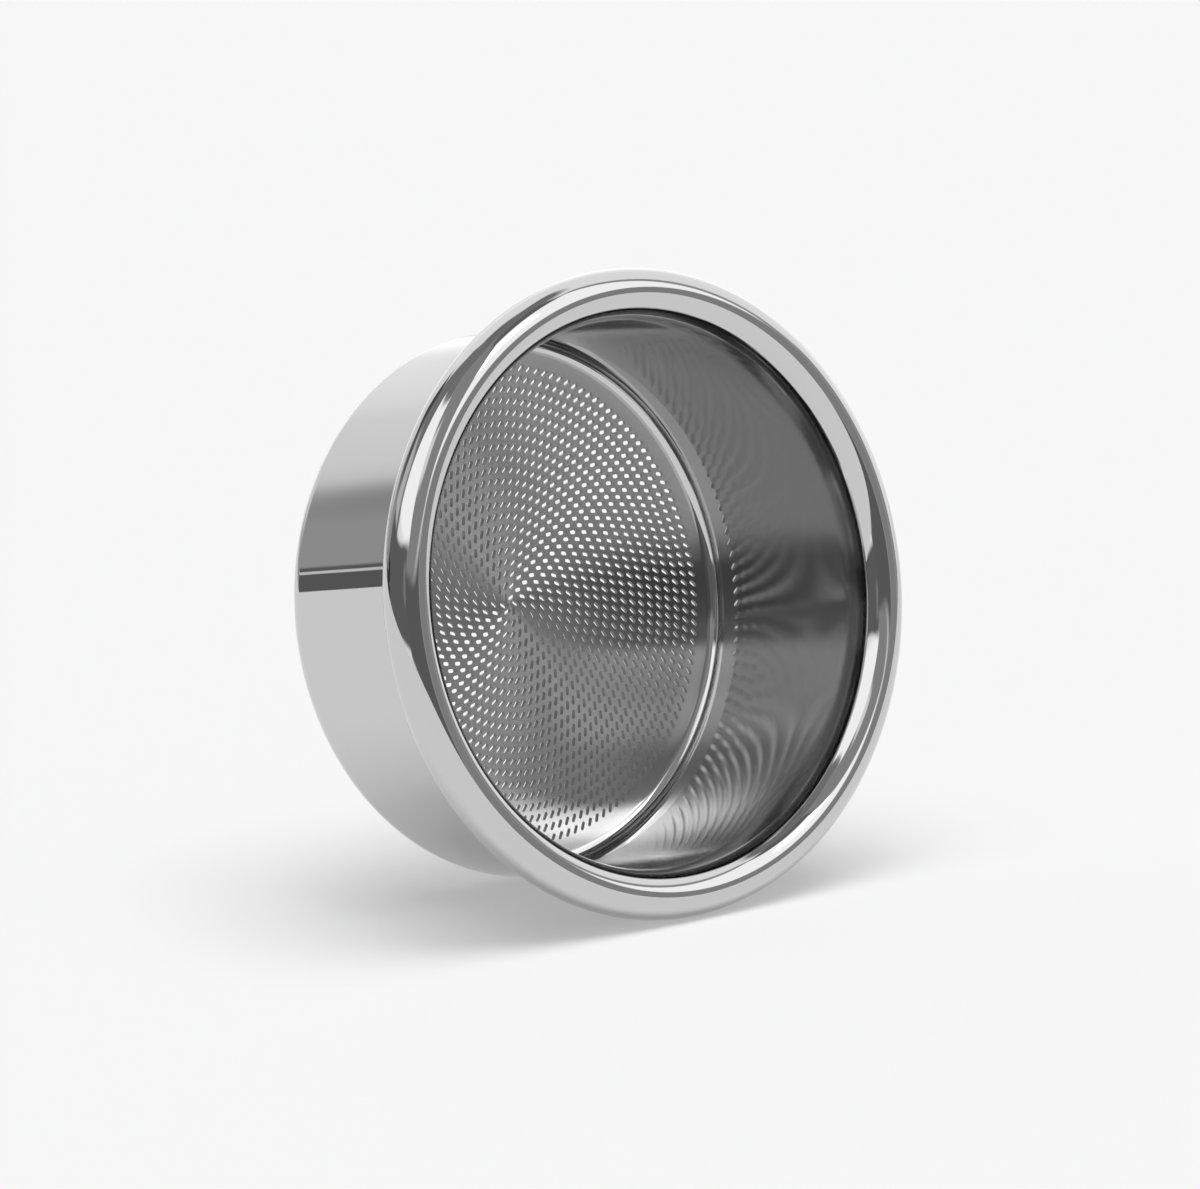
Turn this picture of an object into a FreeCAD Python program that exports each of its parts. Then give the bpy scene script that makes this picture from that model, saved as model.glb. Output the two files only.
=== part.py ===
import FreeCAD, Part
import math
import os
import Sketcher

# Filter basket of an espresso machine, pressed from one stainless sheet.
# The basket stands on its base with its mouth up. Millimetres, +Z up, origin at the
# centre of the underside of the base.

doc = FreeCAD.newDocument("espresso_filter_basket")

# Driving dimensions

DRIVING_SIZES = [
    # the pressed cup
    ("sheet_thickness", 0.6),
    ("cup_radius", 29.4),         # inside of the straight wall
    ("basket_height", 27.7),      # underside of the base to the top of the rim
    ("corner_radius", 1.2),       # inside of the bend between base and wall
    ("corner_outside", 2.5),      # outside of that bend, where the drawn sheet is thinner
    # the mouth and its rolled rim
    ("mouth_widening", 0.5),      # how far the wall opens out before it rolls over
    ("mouth_radius", 8.0),        # bend that opens the wall out
    ("bead_radius", 2.55),        # outside of the rolled rim
    ("curl_angle", 60.0),         # how far the roll turns under, past its widest point
    # the perforation of the base
    ("plain_border", 1.95),       # from the corner bend to the middle of the outer ring
    ("ring_pitch", 3.81),         # from ring to ring
    ("slot_pitch", 3.0),          # from slot to slot along a ring
    ("slot_length", 1.0),
    ("slot_width", 0.42),
    ("slot_slant", 38.0),         # each slot leans this far off the radius, clockwise from above
    ("first_slot_angle", 346.0),  # the ray on which every ring begins
]

# Sizes that follow from the driving ones

DERIVED_SIZES = [
    ("flat_radius", "cup_radius - corner_radius"),
    ("corner_level", "sheet_thickness + corner_radius"),
    ("underside_radius", "cup_radius + sheet_thickness - corner_outside"),
    ("mouth_centre", "cup_radius + mouth_radius"),
    ("mouth_outside", "mouth_radius - sheet_thickness"),
    ("mouth_angle", "acos(1 - mouth_widening / (mouth_radius - bead_radius))"),
    ("bead_inside", "bead_radius - sheet_thickness"),
    ("bead_centre", "cup_radius + mouth_widening + bead_radius"),
    ("bead_level", "basket_height - bead_radius"),
    ("mouth_level", "bead_level - (mouth_radius - bead_radius) * sin(mouth_angle)"),
    ("outer_ring_radius", "flat_radius - plain_border"),
]

sheet = doc.addObject("Spreadsheet::Sheet", "Sizes")
cells = [(name, str(value)) for name, value in DRIVING_SIZES]
cells += [(name, "=" + formula) for name, formula in DERIVED_SIZES]
for row, (name, content) in enumerate(cells, start=1):
    sheet.set(f"A{row}", name)
    sheet.set(f"B{row}", content)
    sheet.setAlias(f"B{row}", name)
    doc.recompute()

body = doc.addObject("PartDesign::Body", "filter_basket")
body.Label = "filter_basket"


def new_sketch(name, plane):
    sketch = body.newObject("Sketcher::SketchObject", name)
    origin_plane = next(item for item in body.Origin.OriginFeatures if item.Role == plane)
    sketch.AttachmentSupport = [(origin_plane, "")]
    sketch.MapMode = "FlatFace"
    return sketch


def closed_outline(corners):
    return [Part.LineSegment(here, there) for here, there in zip(corners, corners[1:] + corners[:1])]


# The shell: the section of the sheet, turned about the basket's axis. Its round stretches
# are drawn as short straight runs, this many to each bend, so that the thin shell stays light.

CORNER_RUN_COUNT = 4
MOUTH_RUN_COUNT = 3
BEAD_RUN_COUNTS = (3, 4, 3)
BEAD_INSIDE_RUN_COUNTS = (2, 3, 2)

CORNER_MIDDLE = ("Sizes.flat_radius", "Sizes.corner_level")
CORNER_OUTSIDE_MIDDLE = ("Sizes.underside_radius", "Sizes.corner_outside")
CORNER_TURN = ("-90 deg", "90 deg")
MOUTH_MIDDLE = ("Sizes.mouth_centre", "Sizes.mouth_level")
MOUTH_TURN = ("180 deg", "-Sizes.mouth_angle")
BEAD_MIDDLE = ("Sizes.bead_centre", "Sizes.bead_level")
BEAD_TURNS = (
    ("180 deg - Sizes.mouth_angle", "Sizes.mouth_angle - 90 deg"),  # up to the top of the rim
    ("90 deg", "-90 deg"),                                          # out to its widest point
    ("0 deg", "-Sizes.curl_angle * 1 deg"),                         # and under
)


def bend(middle, radius, turn, run_count):
    """Formulas for the points along a bend, from its start angle through its sweep."""
    start, sweep = turn
    points = []
    for step in range(run_count + 1):
        angle = f"{start} + ({sweep}) * {step} / {run_count}"
        x = f"{middle[0]} + {radius} * cos({angle})"
        y = f"{middle[1]} + {radius} * sin({angle})"
        points.append((x, y))
    return points


# the face that the coffee touches, from the centre of the base up the wall and over the roll
inner_face = [("0", "Sizes.sheet_thickness")]
inner_face += bend(CORNER_MIDDLE, "Sizes.corner_radius", CORNER_TURN, CORNER_RUN_COUNT)
inner_face += bend(MOUTH_MIDDLE, "Sizes.mouth_radius", MOUTH_TURN, MOUTH_RUN_COUNT)
for turn, run_count in zip(BEAD_TURNS, BEAD_RUN_COUNTS):
    inner_face += bend(BEAD_MIDDLE, "Sizes.bead_radius", turn, run_count)[1:]

# the outer face, from the centre of the underside to the inside of the roll
outer_face = [("0", "0")]
outer_face += bend(CORNER_OUTSIDE_MIDDLE, "Sizes.corner_outside", CORNER_TURN, CORNER_RUN_COUNT)
outer_face += bend(MOUTH_MIDDLE, "Sizes.mouth_outside", MOUTH_TURN, MOUTH_RUN_COUNT)
for turn, run_count in zip(BEAD_TURNS, BEAD_INSIDE_RUN_COUNTS):
    outer_face += bend(BEAD_MIDDLE, "Sizes.bead_inside", turn, run_count)[1:]

section = new_sketch("sheet_section", "XZ_Plane")
points = inner_face + outer_face[::-1]
places = [tuple(float(section.evalExpression(formula)) for formula in point) for point in points]
section.addGeometry(closed_outline([FreeCAD.Vector(x, y, 0) for x, y in places]))
for line, (point, place) in enumerate(zip(points, places)):
    next_line = (line + 1) % len(points)
    section.addConstraint(Sketcher.Constraint("Coincident", line, 2, next_line, 1))
    for direction, formula, value in zip(("DistanceX", "DistanceY"), point, place):
        tie = section.addConstraint(Sketcher.Constraint(direction, -1, 1, line, 1, value))
        section.setExpression(f"Constraints[{tie}]", formula)
doc.recompute()

shell = body.newObject("PartDesign::Revolution", "pressed_shell")
shell.Profile = section
shell.ReferenceAxis = (section, ["V_Axis"])
shell.Angle = 360.0
doc.recompute()

# The perforation: rings of short slanting slots through the base. Every ring begins on the
# same ray, and holds as many slots as its length has room for at the slots' pitch.


def slot_corners(radius, azimuth):
    """A slot has two long sides and pointed ends."""
    lean = azimuth - math.radians(sheet.slot_slant)
    middle = FreeCAD.Vector(radius * math.cos(azimuth), radius * math.sin(azimuth), 0)
    lengthwise = FreeCAD.Vector(math.cos(lean), math.sin(lean), 0)
    crosswise = FreeCAD.Vector(-math.sin(lean), math.cos(lean), 0)
    tip = sheet.slot_length / 2
    side = (sheet.slot_length - sheet.slot_width) / 2
    half_width = sheet.slot_width / 2
    offsets = [
        (tip, 0), (side, half_width), (-side, half_width),
        (-tip, 0), (-side, -half_width), (side, -half_width),
    ]
    return [middle + lengthwise * along + crosswise * across for along, across in offsets]


slot_sketch = new_sketch("slot_rings", "XY_Plane")
first_azimuth = math.radians(sheet.first_slot_angle)
ring_count = int(sheet.outer_ring_radius / sheet.ring_pitch) + 1
slot_count = 0
for ring in range(ring_count):
    ring_radius = sheet.outer_ring_radius - ring * sheet.ring_pitch
    slots_here = round(2 * math.pi * ring_radius / sheet.slot_pitch)
    for slot in range(slots_here):
        azimuth = first_azimuth + 2 * math.pi * slot / slots_here
        slot_sketch.addGeometry(closed_outline(slot_corners(ring_radius, azimuth)))
    slot_count += slots_here
doc.recompute()

perforation = body.newObject("PartDesign::Pocket", "perforation")
perforation.Profile = slot_sketch
perforation.Type = "Length"
perforation.setExpression("Length", "2 * Sizes.sheet_thickness")
perforation.Reversed = True
body.Tip = perforation
doc.recompute()

# Checks and output

for item in doc.Objects:
    if "Invalid" in item.State or "Error" in item.State:
        raise RuntimeError(f"{item.Name} is in the state {item.State}")
basket = body.Shape
if basket.isNull() or not basket.isValid() or len(basket.Solids) != 1:
    raise RuntimeError("the basket isn't one valid solid")

slot_area = sheet.slot_width * (sheet.slot_length - sheet.slot_width / 2)
slots_volume = slot_count * slot_area * sheet.sheet_thickness
cut_volume = shell.Shape.Volume - basket.Volume
print(slot_count, "slots in", ring_count, "rings take", round(cut_volume, 1), "mm3 from the base")
if abs(cut_volume - slots_volume) > 0.02 * slots_volume:
    raise RuntimeError("the slots don't go through the base")

os.makedirs("parts", exist_ok=True)
basket.exportStep(f"parts/{body.Label}.step")
box = basket.BoundBox
print("size", round(box.XLength, 2), round(box.YLength, 2), round(box.ZLength, 2))
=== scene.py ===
# %% [markdown]
# # A filter basket for an espresso machine
# The basket is one stainless sheet, just over half a millimetre thick, drawn into a cup with a
# straight wall. Its base is pierced with rings of fine slots, and its mouth is rolled over into a
# round rim, by which it hangs in its holder. The polish is what the eye sees first, so this
# lesson spends as much care on what the metal reflects as on its shape.
#
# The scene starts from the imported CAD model. Everything below is in that model's frame: the
# basket stands on its base, +Z points out of its mouth, and one Blender unit is a metre.

# %% Load the frame
import bmesh
import bpy
import math
from mathutils import Matrix, Vector


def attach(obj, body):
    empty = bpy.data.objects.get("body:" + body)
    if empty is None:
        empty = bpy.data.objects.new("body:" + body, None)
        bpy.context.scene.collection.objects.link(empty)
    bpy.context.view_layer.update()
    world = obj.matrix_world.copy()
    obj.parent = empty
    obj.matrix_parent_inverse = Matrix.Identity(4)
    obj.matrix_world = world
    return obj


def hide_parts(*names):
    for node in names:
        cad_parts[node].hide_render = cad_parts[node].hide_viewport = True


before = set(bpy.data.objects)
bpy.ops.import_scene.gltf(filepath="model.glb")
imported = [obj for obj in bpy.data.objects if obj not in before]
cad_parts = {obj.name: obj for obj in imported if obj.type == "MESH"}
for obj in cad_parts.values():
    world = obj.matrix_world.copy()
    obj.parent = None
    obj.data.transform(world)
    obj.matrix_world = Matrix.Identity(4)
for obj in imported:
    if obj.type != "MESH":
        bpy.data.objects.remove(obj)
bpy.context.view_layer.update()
MM = 0.001

# %% [markdown]
# ## One helper for nodes
# Geometry and materials are both made of nodes. This helper adds one node, sets its options,
# and fills its inputs: a plain value is typed in, and another node's output is linked.

# %% Helper: add a node


def add_node(tree, kind, inputs=None, **options):
    node = tree.nodes.new(kind)
    for option, value in options.items():
        setattr(node, option, value)
    for name, value in (inputs or {}).items():
        if isinstance(value, bpy.types.NodeSocket):
            tree.links.new(value, node.inputs[name])
        else:
            node.inputs[name].default_value = value
    return node


# %% [markdown]
# ## The section of the sheet
# A pressed cup is round, so one line says all about its form: the section, which runs from the
# base up the inner wall, over the rolled rim, and back down the outer wall. The CAD model draws
# the bends as short straight runs to stay light. Here each bend gets enough points to read as
# a true round, because polished metal shows every facet.

# %% Sizes of the cup, in millimetres and degrees
SHEET = 0.6           # thickness
CUP_RADIUS = 29.4     # inside
HEIGHT = 27.7
CORNER_RADIUS = 1.2   # of the bend between base and wall, inside the cup
CORNER_OUTSIDE = 2.5  # of the same bend, outside
MOUTH_WIDENING = 0.5
MOUTH_RADIUS = 8.0    # of the bend that opens the mouth out
BEAD_RADIUS = 2.55    # of the rolled rim
CURL_ANGLE = 60.0     # how far the roll goes on past the rim's widest point
BOX_MARGIN = 0.01     # keeps the finished mesh just inside the CAD model's box

FLAT_RADIUS = CUP_RADIUS - CORNER_RADIUS
CORNER_LEVEL = SHEET + CORNER_RADIUS
UNDERSIDE_RADIUS = CUP_RADIUS + SHEET - CORNER_OUTSIDE
BEAD_CENTRE = CUP_RADIUS + MOUTH_WIDENING + BEAD_RADIUS
BEAD_LEVEL = HEIGHT - BEAD_RADIUS
MOUTH_CENTRE = CUP_RADIUS + MOUTH_RADIUS
MOUTH_ANGLE = math.degrees(math.acos(1 - MOUTH_WIDENING / (MOUTH_RADIUS - BEAD_RADIUS)))
MOUTH_LEVEL = BEAD_LEVEL - (MOUTH_RADIUS - BEAD_RADIUS) * math.sin(math.radians(MOUTH_ANGLE))
print("the wall is straight from", round(CORNER_LEVEL, 2), "to", round(MOUTH_LEVEL, 2), "mm")

# %% Helpers: points along a bend and up a wall
DEGREES_PER_POINT = 5.0
WALL_STEPS = 8
SUPPORT = 0.1  # mm; a point this far from a bend keeps its shading off the flat sheet beside it


def arc(centre, level, radius, start, sweep):
    """Points of (radius, level) round a bend, from its start angle through its sweep."""
    steps = max(2, math.ceil(abs(sweep) / DEGREES_PER_POINT))
    points = []
    for step in range(steps + 1):
        angle = math.radians(start + sweep * step / steps)
        points.append((centre + radius * math.cos(angle), level + radius * math.sin(angle)))
    return points


def straight(radius, low, high):
    """Points up a straight wall, the first and the last of them beside the bends."""
    low, high = low + SUPPORT, high - SUPPORT
    return [(radius, low + (high - low) * step / WALL_STEPS) for step in range(WALL_STEPS + 1)]


# %% [markdown]
# The rows of the section decide later which stretch gets which finish. Inside the cup, the foot
# of the wall is polished, from the bend to a few millimetres above it, and so is the lip. All
# between them, and the edge of the base, is satin, which also gets a darker grey as painted
# shade for the inside of the cup, so the polished foot shows as a lighter band.

# %% Draw the section
SEAM_INSET = 0.3                          # mm, from the bend under the base to the seam
BASE_RIM = UNDERSIDE_RADIUS - SEAM_INSET  # mm; the base ends and the turned shell begins here
LIP_ROWS = 3                              # the last rows of the mouth's bend, which are polished

inside = [(BASE_RIM, SHEET), (FLAT_RADIUS - SUPPORT, SHEET)]
foot_first = len(inside)
inside += arc(FLAT_RADIUS, CORNER_LEVEL, CORNER_RADIUS, -90, 90)
foot_last = len(inside)
inside += straight(CUP_RADIUS, CORNER_LEVEL, MOUTH_LEVEL)
inside += arc(MOUTH_CENTRE, MOUTH_LEVEL, MOUTH_RADIUS, 180, -MOUTH_ANGLE)

roll_start = 180 - MOUTH_ANGLE
roll_sweep = -(roll_start + CURL_ANGLE)
roll = arc(BEAD_CENTRE, BEAD_LEVEL, BEAD_RADIUS - BOX_MARGIN, roll_start, roll_sweep)
roll_back = arc(BEAD_CENTRE, BEAD_LEVEL, BEAD_RADIUS - SHEET, -CURL_ANGLE, -roll_sweep)

outside = arc(MOUTH_CENTRE, MOUTH_LEVEL, MOUTH_RADIUS - SHEET, roll_start, MOUTH_ANGLE)[1:]
outside += straight(CUP_RADIUS + SHEET, CORNER_OUTSIDE, MOUTH_LEVEL)[::-1]
outside += arc(UNDERSIDE_RADIUS, CORNER_OUTSIDE, CORNER_OUTSIDE, 0, -90)
outside += [(UNDERSIDE_RADIUS - SUPPORT, 0.0), (BASE_RIM, 0.0)]

section = inside + roll[1:] + roll_back + outside
print("section:", len(section), "points,", len(inside), "of them inside the cup")

# %% Make the section a mesh of points and edges
section_mesh = bpy.data.meshes.new("section")
section_mesh.from_pydata(
    [(radius * MM, 0, level * MM) for radius, level in section],
    [(point, point + 1) for point in range(len(section) - 1)],
    [],
)
section_object = bpy.data.objects.new("pressed_shell", section_mesh)
bpy.context.collection.objects.link(section_object)
print("section mesh:", len(section_mesh.vertices), "points,", len(section_mesh.edges), "edges")

# %% [markdown]
# ## Finishes
# The three finishes are filled in further down. They are named here, because the Geometry Nodes
# trees already hand them to the faces they belong to.

# %% Name the finishes
polished_steel = bpy.data.materials.new("stainless_steel_mirror_polished")
# the satin finish's darker grey is painted shade for the inside of the cup
satin_steel_painted_shade = bpy.data.materials.new("stainless_steel_satin_painted_shade")
punched_steel = bpy.data.materials.new("stainless_steel_punched_edge")
finishes = (polished_steel, satin_steel_painted_shade, punched_steel)
print("finishes:", [material.name for material in finishes])

# %% [markdown]
# ## Turning the section into the shell
# A Screw modifier would turn the section too. A Geometry Nodes tree is used instead because it
# can hand out the finishes on the way: a flat grid is made with one row for each point of the
# section and one column for each step round the axis, and every grid point is then moved to
# where its section point lands when it is turned.

# %% Tree: turn a section about the Z axis
turn_tree = bpy.data.node_groups.new("turn_section", "GeometryNodeTree")
for name, kind in (
    ("Section", "NodeSocketGeometry"), ("Segments", "NodeSocketInt"),
    ("Inside Rows", "NodeSocketInt"),
    ("Foot Middle", "NodeSocketFloat"), ("Foot Reach", "NodeSocketFloat"),
):
    turn_tree.interface.new_socket(name, in_out="INPUT", socket_type=kind)
turn_tree.interface.new_socket("Shell", in_out="OUTPUT", socket_type="NodeSocketGeometry")
given = add_node(turn_tree, "NodeGroupInput").outputs

# the grid, and for each of its points the row and the angle
point_total = add_node(
    turn_tree, "GeometryNodeAttributeDomainSize", {"Geometry": given["Section"]}
).outputs[0]
columns = add_node(
    turn_tree, "ShaderNodeMath", {0: given["Segments"], 1: 1.0}, operation="ADD"
).outputs[0]
grid = add_node(
    turn_tree, "GeometryNodeMeshGrid", {"Vertices X": columns, "Vertices Y": point_total}
).outputs["Mesh"]
index = add_node(turn_tree, "GeometryNodeInputIndex").outputs[0]
row = add_node(
    turn_tree, "ShaderNodeMath", {0: index, 1: point_total}, operation="MODULO"
).outputs[0]
column_share = add_node(
    turn_tree, "ShaderNodeMath", {0: index, 1: point_total}, operation="DIVIDE"
).outputs[0]
column = add_node(turn_tree, "ShaderNodeMath", {0: column_share}, operation="FLOOR").outputs[0]
turns = add_node(
    turn_tree, "ShaderNodeMath", {0: column, 1: given["Segments"]}, operation="DIVIDE"
).outputs[0]
angle = add_node(
    turn_tree, "ShaderNodeMath", {0: turns, 1: math.tau}, operation="MULTIPLY"
).outputs[0]

# every grid point goes to its section point, turned by its angle
position = add_node(turn_tree, "GeometryNodeInputPosition").outputs[0]
section_point = add_node(
    turn_tree, "GeometryNodeSampleIndex",
    {"Geometry": given["Section"], "Value": position, "Index": row},
    data_type="FLOAT_VECTOR", domain="POINT",
).outputs[0]
turned_point = add_node(
    turn_tree, "ShaderNodeVectorRotate", {"Vector": section_point, "Angle": angle},
    rotation_type="Z_AXIS",
).outputs[0]
turned = add_node(
    turn_tree, "GeometryNodeSetPosition", {"Geometry": grid, "Position": turned_point}
).outputs[0]
realized = add_node(
    turn_tree, "GeometryNodeRealizeInstances", {"Geometry": turned}
).outputs[0]
print("turning tree so far:", len(turn_tree.nodes), "nodes")

# %% Tree: give the rows their finishes
all_polished = add_node(
    turn_tree, "GeometryNodeSetMaterial", {"Geometry": realized, "Material": polished_steel}
).outputs[0]
rows_of_faces = add_node(
    turn_tree, "ShaderNodeMath", {0: point_total, 1: 1.0}, operation="SUBTRACT"
).outputs[0]
face_row = add_node(
    turn_tree, "ShaderNodeMath", {0: index, 1: rows_of_faces}, operation="MODULO"
).outputs[0]
is_inside = add_node(
    turn_tree, "ShaderNodeMath", {0: face_row, 1: given["Inside Rows"]}, operation="LESS_THAN"
).outputs[0]
on_foot = add_node(
    turn_tree, "ShaderNodeMath",
    {0: face_row, 1: given["Foot Middle"], 2: given["Foot Reach"]}, operation="COMPARE",
).outputs[0]
# the satin rows, painted a darker grey as shade for the inside of the cup, are those inside the
# cup that aren't on the foot
is_satin_painted_shade = add_node(
    turn_tree, "ShaderNodeMath", {0: is_inside, 1: on_foot}, operation="GREATER_THAN"
).outputs[0]
satin_painted_shade_inside = add_node(
    turn_tree, "GeometryNodeSetMaterial",
    {"Geometry": all_polished, "Selection": is_satin_painted_shade, "Material": satin_steel_painted_shade},
).outputs[0]
add_node(turn_tree, "NodeGroupOutput", {"Shell": satin_painted_shade_inside})
print("turning tree:", len(turn_tree.nodes), "nodes")

# %% Helper: run a tree on an object and keep the result as a plain mesh


def run_tree(host, tree, values):
    """Run a tree by a modifier, with its inputs set by their names, and remove the host."""
    modifier = host.modifiers.new(tree.name, "NODES")
    modifier.node_group = tree
    for item in tree.interface.items_tree:
        if item.in_out == "INPUT" and item.name in values:
            modifier[item.identifier] = values[item.name]
    evaluated = host.evaluated_get(bpy.context.evaluated_depsgraph_get())
    mesh = bpy.data.meshes.new_from_object(evaluated)
    host.modifiers.remove(modifier)
    bpy.data.objects.remove(host)
    return mesh


# %% Turn the shell
SEGMENTS = 192        # steps round the axis
PART_OF_A_ROW = 0.25  # keeps the foot's first and last rows safely within its reach

shell_mesh = run_tree(section_object, turn_tree, {
    "Segments": SEGMENTS, "Inside Rows": len(inside) - LIP_ROWS,
    "Foot Middle": (foot_first + foot_last) / 2,
    "Foot Reach": (foot_last - foot_first) / 2 + PART_OF_A_ROW,
})
print("shell:", len(shell_mesh.polygons), "faces")

# %% [markdown]
# ## The perforated base
# The base carries 21 rings of slots. Each slot is a millimetre long and less than half a
# millimetre wide, and leans away from the radius, so that the rings together look like a
# turning flower. From one ring to the next there are eight more slots, which keeps them about a
# millimetre apart, and only the outermost rings hold the same number. Cutting 1,800 holes with
# booleans is slow. It is lighter to draw all the outlines first, fill the area between them, and
# only then give the sheet its thickness.

# %% Sizes of the perforation, in millimetres and degrees
RINGS = 21
OUTER_RING = 26.25
RING_PITCH = 1.27
INNER_RING_SLOTS = 6
SLOTS_ADDED = 8         # from one ring to the next
MOST_SLOTS = 150        # in any ring
SLOT_LENGTH = 1.0
SLOT_WIDTH = 0.42
SLOT_SLANT = 38.0
FIRST_SLOT_ANGLE = 346.0
OUTER_RINGS_LAG = 0.22  # of a slot's pitch; a full ring starts this far behind the one inside it
SLOT_POINTS = 12        # round the outline of a slot

slot_total = sum(min(INNER_RING_SLOTS + SLOTS_ADDED * ring, MOST_SLOTS) for ring in range(RINGS))
print("slots:", slot_total)

# %% Tree: the inputs for piercing the base
base_tree = bpy.data.node_groups.new("pierce_base", "GeometryNodeTree")
for name, kind in (
    ("Rings", "NodeSocketInt"), ("Outer Ring", "NodeSocketFloat"),
    ("Ring Pitch", "NodeSocketFloat"), ("Inner Ring Slots", "NodeSocketInt"),
    ("Slots Added", "NodeSocketInt"), ("Most Slots", "NodeSocketInt"),
    ("First Angle", "NodeSocketFloat"), ("Lag", "NodeSocketFloat"), ("Slant", "NodeSocketFloat"),
    ("Slot Length", "NodeSocketFloat"), ("Slot Width", "NodeSocketFloat"),
    ("Slot Points", "NodeSocketInt"), ("Base Radius", "NodeSocketFloat"),
    ("Segments", "NodeSocketInt"), ("Thickness", "NodeSocketFloat"),
):
    base_tree.interface.new_socket(name, in_out="INPUT", socket_type=kind)
base_tree.interface.new_socket("Base", in_out="OUTPUT", socket_type="NodeSocketGeometry")
given = add_node(base_tree, "NodeGroupInput").outputs
print("inputs of the base tree:", [socket.name for socket in given if socket.name])

# %% [markdown]
# ### One slot
# A slot is a circle whose two halves are pulled apart. The circle's first corner lies half a
# step off the slot's long axis, so that no corner falls between the halves.

# %% Tree: the outline of a slot
half_step = add_node(
    base_tree, "ShaderNodeMath", {0: math.pi, 1: given["Slot Points"]}, operation="DIVIDE"
).outputs[0]
half_step_cosine = add_node(
    base_tree, "ShaderNodeMath", {0: half_step}, operation="COSINE"
).outputs[0]
half_width = add_node(
    base_tree, "ShaderNodeMath", {0: given["Slot Width"], 1: 2.0}, operation="DIVIDE"
).outputs[0]
corner_radius = add_node(
    base_tree, "ShaderNodeMath", {0: half_width, 1: half_step_cosine}, operation="DIVIDE"
).outputs[0]
circle = add_node(
    base_tree, "GeometryNodeCurvePrimitiveCircle",
    {"Resolution": given["Slot Points"], "Radius": corner_radius},
).outputs["Curve"]
circle_point = add_node(base_tree, "GeometryNodeInputPosition").outputs[0]
turned_point = add_node(
    base_tree, "ShaderNodeVectorRotate", {"Vector": circle_point, "Angle": half_step},
    rotation_type="Z_AXIS",
).outputs[0]
turned_x = add_node(base_tree, "ShaderNodeSeparateXYZ", {"Vector": turned_point}).outputs["X"]
side = add_node(base_tree, "ShaderNodeMath", {0: turned_x}, operation="SIGN").outputs[0]
spread = add_node(
    base_tree, "ShaderNodeMath", {0: given["Slot Length"], 1: given["Slot Width"]},
    operation="SUBTRACT",
).outputs[0]
half_spread = add_node(
    base_tree, "ShaderNodeMath", {0: spread, 1: 2.0}, operation="DIVIDE"
).outputs[0]
pull = add_node(
    base_tree, "ShaderNodeMath", {0: side, 1: half_spread}, operation="MULTIPLY"
).outputs[0]
pull_along_x = add_node(base_tree, "ShaderNodeCombineXYZ", {"X": pull}).outputs[0]
slot_outline = add_node(
    base_tree, "GeometryNodeSetPosition",
    {"Geometry": circle, "Position": turned_point, "Offset": pull_along_x},
).outputs[0]
print("base tree so far:", len(base_tree.nodes), "nodes")

# %% [markdown]
# ### The rings
# The rings are made one after another, from the middle out, by a repeat zone. A ring past the
# one that first reaches the most slots starts a little late.

# %% Tree: the size of a ring and its number of slots
repeat_in = add_node(base_tree, "GeometryNodeRepeatInput", {"Iterations": given["Rings"]})
repeat_out = add_node(base_tree, "GeometryNodeRepeatOutput")
repeat_in.pair_with_output(repeat_out)
ring = repeat_in.outputs["Iteration"]
last_ring = add_node(
    base_tree, "ShaderNodeMath", {0: given["Rings"], 1: 1.0}, operation="SUBTRACT"
).outputs[0]
rings_out = add_node(
    base_tree, "ShaderNodeMath", {0: last_ring, 1: ring}, operation="SUBTRACT"
).outputs[0]
inset = add_node(
    base_tree, "ShaderNodeMath", {0: rings_out, 1: given["Ring Pitch"]}, operation="MULTIPLY"
).outputs[0]
ring_radius = add_node(
    base_tree, "ShaderNodeMath", {0: given["Outer Ring"], 1: inset}, operation="SUBTRACT"
).outputs[0]
wanted = add_node(
    base_tree, "ShaderNodeMath",
    {0: ring, 1: given["Slots Added"], 2: given["Inner Ring Slots"]}, operation="MULTIPLY_ADD",
).outputs[0]
slots = add_node(
    base_tree, "ShaderNodeMath", {0: wanted, 1: given["Most Slots"]}, operation="MINIMUM"
).outputs[0]
surplus = add_node(
    base_tree, "ShaderNodeMath", {0: wanted, 1: slots}, operation="SUBTRACT"
).outputs[0]
rings_late = add_node(
    base_tree, "ShaderNodeMath", {0: surplus, 1: given["Slots Added"]}, operation="DIVIDE"
).outputs[0]
lag = add_node(
    base_tree, "ShaderNodeMath", {0: rings_late, 1: given["Lag"]}, operation="MULTIPLY"
).outputs[0]
print("base tree so far:", len(base_tree.nodes), "nodes")

# %% Tree: put the slots on their ring
index = add_node(base_tree, "GeometryNodeInputIndex").outputs[0]
place = add_node(base_tree, "ShaderNodeMath", {0: index, 1: lag}, operation="ADD").outputs[0]
share = add_node(base_tree, "ShaderNodeMath", {0: place, 1: slots}, operation="DIVIDE").outputs[0]
azimuth = add_node(
    base_tree, "ShaderNodeMath", {0: share, 1: math.tau, 2: given["First Angle"]},
    operation="MULTIPLY_ADD",
).outputs[0]
on_x_axis = add_node(base_tree, "ShaderNodeCombineXYZ", {"X": ring_radius}).outputs[0]
slot_middle = add_node(
    base_tree, "ShaderNodeVectorRotate", {"Vector": on_x_axis, "Angle": azimuth},
    rotation_type="Z_AXIS",
).outputs[0]
ring_points = add_node(
    base_tree, "GeometryNodePoints", {"Count": slots, "Position": slot_middle}
).outputs[0]
lean = add_node(
    base_tree, "ShaderNodeMath", {0: azimuth, 1: given["Slant"]}, operation="SUBTRACT"
).outputs[0]
rotation = add_node(base_tree, "ShaderNodeCombineXYZ", {"Z": lean}).outputs[0]
outlines = add_node(
    base_tree, "GeometryNodeInstanceOnPoints",
    {"Points": ring_points, "Instance": slot_outline, "Rotation": rotation},
).outputs[0]
real_outlines = add_node(
    base_tree, "GeometryNodeRealizeInstances", {"Geometry": outlines}
).outputs[0]
print("base tree so far:", len(base_tree.nodes), "nodes")

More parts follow.
